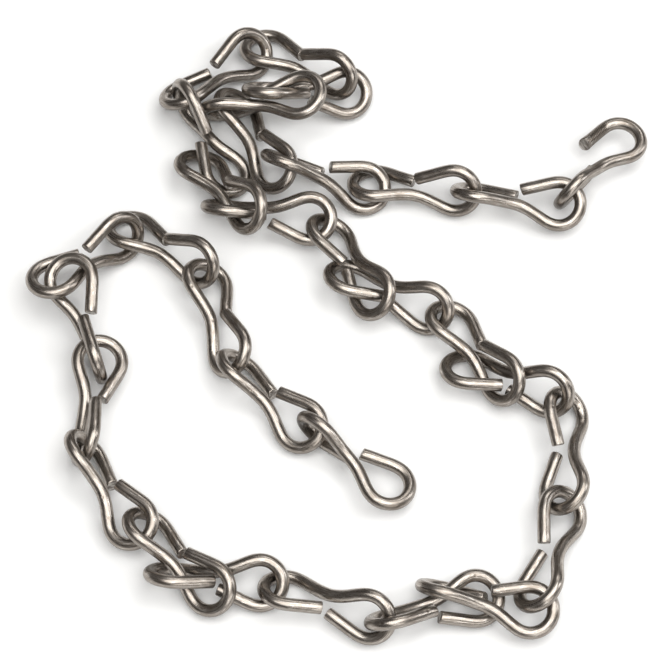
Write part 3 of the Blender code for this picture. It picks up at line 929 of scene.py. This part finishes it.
    def _vary(self, wire: bpy.types.Object, number: int) -> None:
        """Shifts the marks along the wire, so that no two links carry the same ones."""
        layer = wire.data.attributes["wire_place"]
        place = np.empty(len(layer.data) * 3, np.float32)
        layer.data.foreach_get("vector", place)
        place = place.reshape(-1, 3)
        place[:, 0] += self.seed_step * (number + 1)
        layer.data.foreach_set("vector", place.ravel())


@dataclass(frozen=True)
class PaleFloor:
    """The plain floor that the chain lies on."""

    side: float = 6.0
    drop: float = 0.0001
    colour: tuple[float, float, float] = (0.93, 0.93, 0.93)
    roughness: float = 0.9
    gloss: float = 0.1

    def build(self) -> None:
        """Adds the floor and marks it as not part of the object."""
        deselect_all()
        bpy.ops.mesh.primitive_plane_add(size=self.side, location=(0.0, 0.0, -self.drop))
        floor = bpy.context.object
        floor.name = "pale_floor"
        bpy.ops.object.transform_apply(location=True, rotation=True, scale=True)
        paint = bpy.data.materials.new("pale_floor")
        paint.use_nodes = True
        shader = paint.node_tree.nodes["Principled BSDF"]
        shader.inputs["Base Color"].default_value = (*self.colour, 1.0)
        shader.inputs["Roughness"].default_value = self.roughness
        shader.inputs["Specular IOR Level"].default_value = self.gloss
        floor.data.materials.append(paint)
        floor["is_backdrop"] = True
        LOG.info("floor: %.1f m square", self.side)


@dataclass(frozen=True)
class SoftBox:
    """One soft studio light."""

    name: str
    place: tuple[float, float, float]
    width: float
    height: float
    power: float
    colour: tuple[float, float, float] = (1.0, 1.0, 1.0)

    def build(self, aim: Vector) -> None:
        """Hangs the light.

        Args:
            aim: the point it is turned to.
        """
        light = bpy.data.lights.new(self.name, "AREA")
        light.shape = "RECTANGLE"
        light.size = self.width
        light.size_y = self.height
        light.energy = self.power
        light.color = self.colour
        holder = bpy.data.objects.new(self.name, light)
        holder.location = self.place
        holder.rotation_euler = (aim - Vector(self.place)).to_track_quat("-Z", "Y").to_euler()
        bpy.context.scene.collection.objects.link(holder)


@dataclass(frozen=True)
class Studio:
    """Plain soft studio light from overhead, in a room with dark walls."""

    walls: tuple[float, float, float] = (0.125, 0.119, 0.116)
    boxes: tuple[SoftBox, ...] = (
        SoftBox("overhead_light", (0.14, -0.22, 1.10), 1.40, 1.00, 16.5, (1.0, 1.0, 0.985)),
        SoftBox("front_light", (0.50, -1.20, 0.62), 1.10, 0.45, 4.5, (1.0, 0.985, 0.96)),
        SoftBox("right_light", (1.20, 0.10, 0.60), 0.30, 0.80, 3.4, (0.98, 0.99, 1.0)),
        SoftBox("back_light", (0.30, 1.00, 1.00), 0.90, 0.35, 3.0, (1.0, 0.985, 0.96)),
    )

    def build(self, aim: Vector) -> None:
        """Lights the room.

        Args:
            aim: the middle of the object.
        """
        world = bpy.data.worlds.new("studio")
        world.use_nodes = True
        world.node_tree.nodes["Background"].inputs["Color"].default_value = (*self.walls, 1.0)
        bpy.context.scene.world = world
        bpy.context.scene.view_settings.view_transform = "Standard"
        for box in self.boxes:
            box.build(aim)
        LOG.info("studio: %d soft lights", len(self.boxes))


@dataclass(frozen=True)
class ViewCamera:
    """The camera, where the photograph was taken from."""

    target: tuple[float, float, float] = (-0.00131, -0.00322, 0.00006)
    elevation: float = math.radians(63.5)
    distance: float = 0.764
    pixels_per_metre: float = 3708.0
    picture_pixels: float = 672.0
    sensor: float = 36.0
    nearest: float = 0.05

    def build(self) -> None:
        """Adds the camera and makes it the scene's."""
        camera = bpy.data.cameras.new("view_camera")
        camera.sensor_width = self.sensor
        camera.lens = self.sensor * self.pixels_per_metre * self.distance / self.picture_pixels
        camera.clip_start = self.nearest
        holder = bpy.data.objects.new("view_camera", camera)
        back = Vector((0.0, -math.cos(self.elevation), math.sin(self.elevation)))
        holder.location = Vector(self.target) + back * self.distance
        holder.rotation_euler = (math.pi / 2.0 - self.elevation, 0.0, 0.0)
        bpy.context.scene.collection.objects.link(holder)
        bpy.context.scene.camera = holder
        LOG.info("camera: %.1f mm lens", camera.lens)


def main() -> None:
    """Builds the chain, the floor, the light and the camera."""
    logging.basicConfig(level=logging.INFO, format="%(name)s: %(message)s")
    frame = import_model()
    solid_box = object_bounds()
    Chain().build(frame["nodes"])
    PaleFloor().build()
    middle = (Vector(solid_box[0]) + Vector(solid_box[1])) / 2.0
    Studio().build(middle)
    ViewCamera().build()


if __name__ == "__main__":
    main()
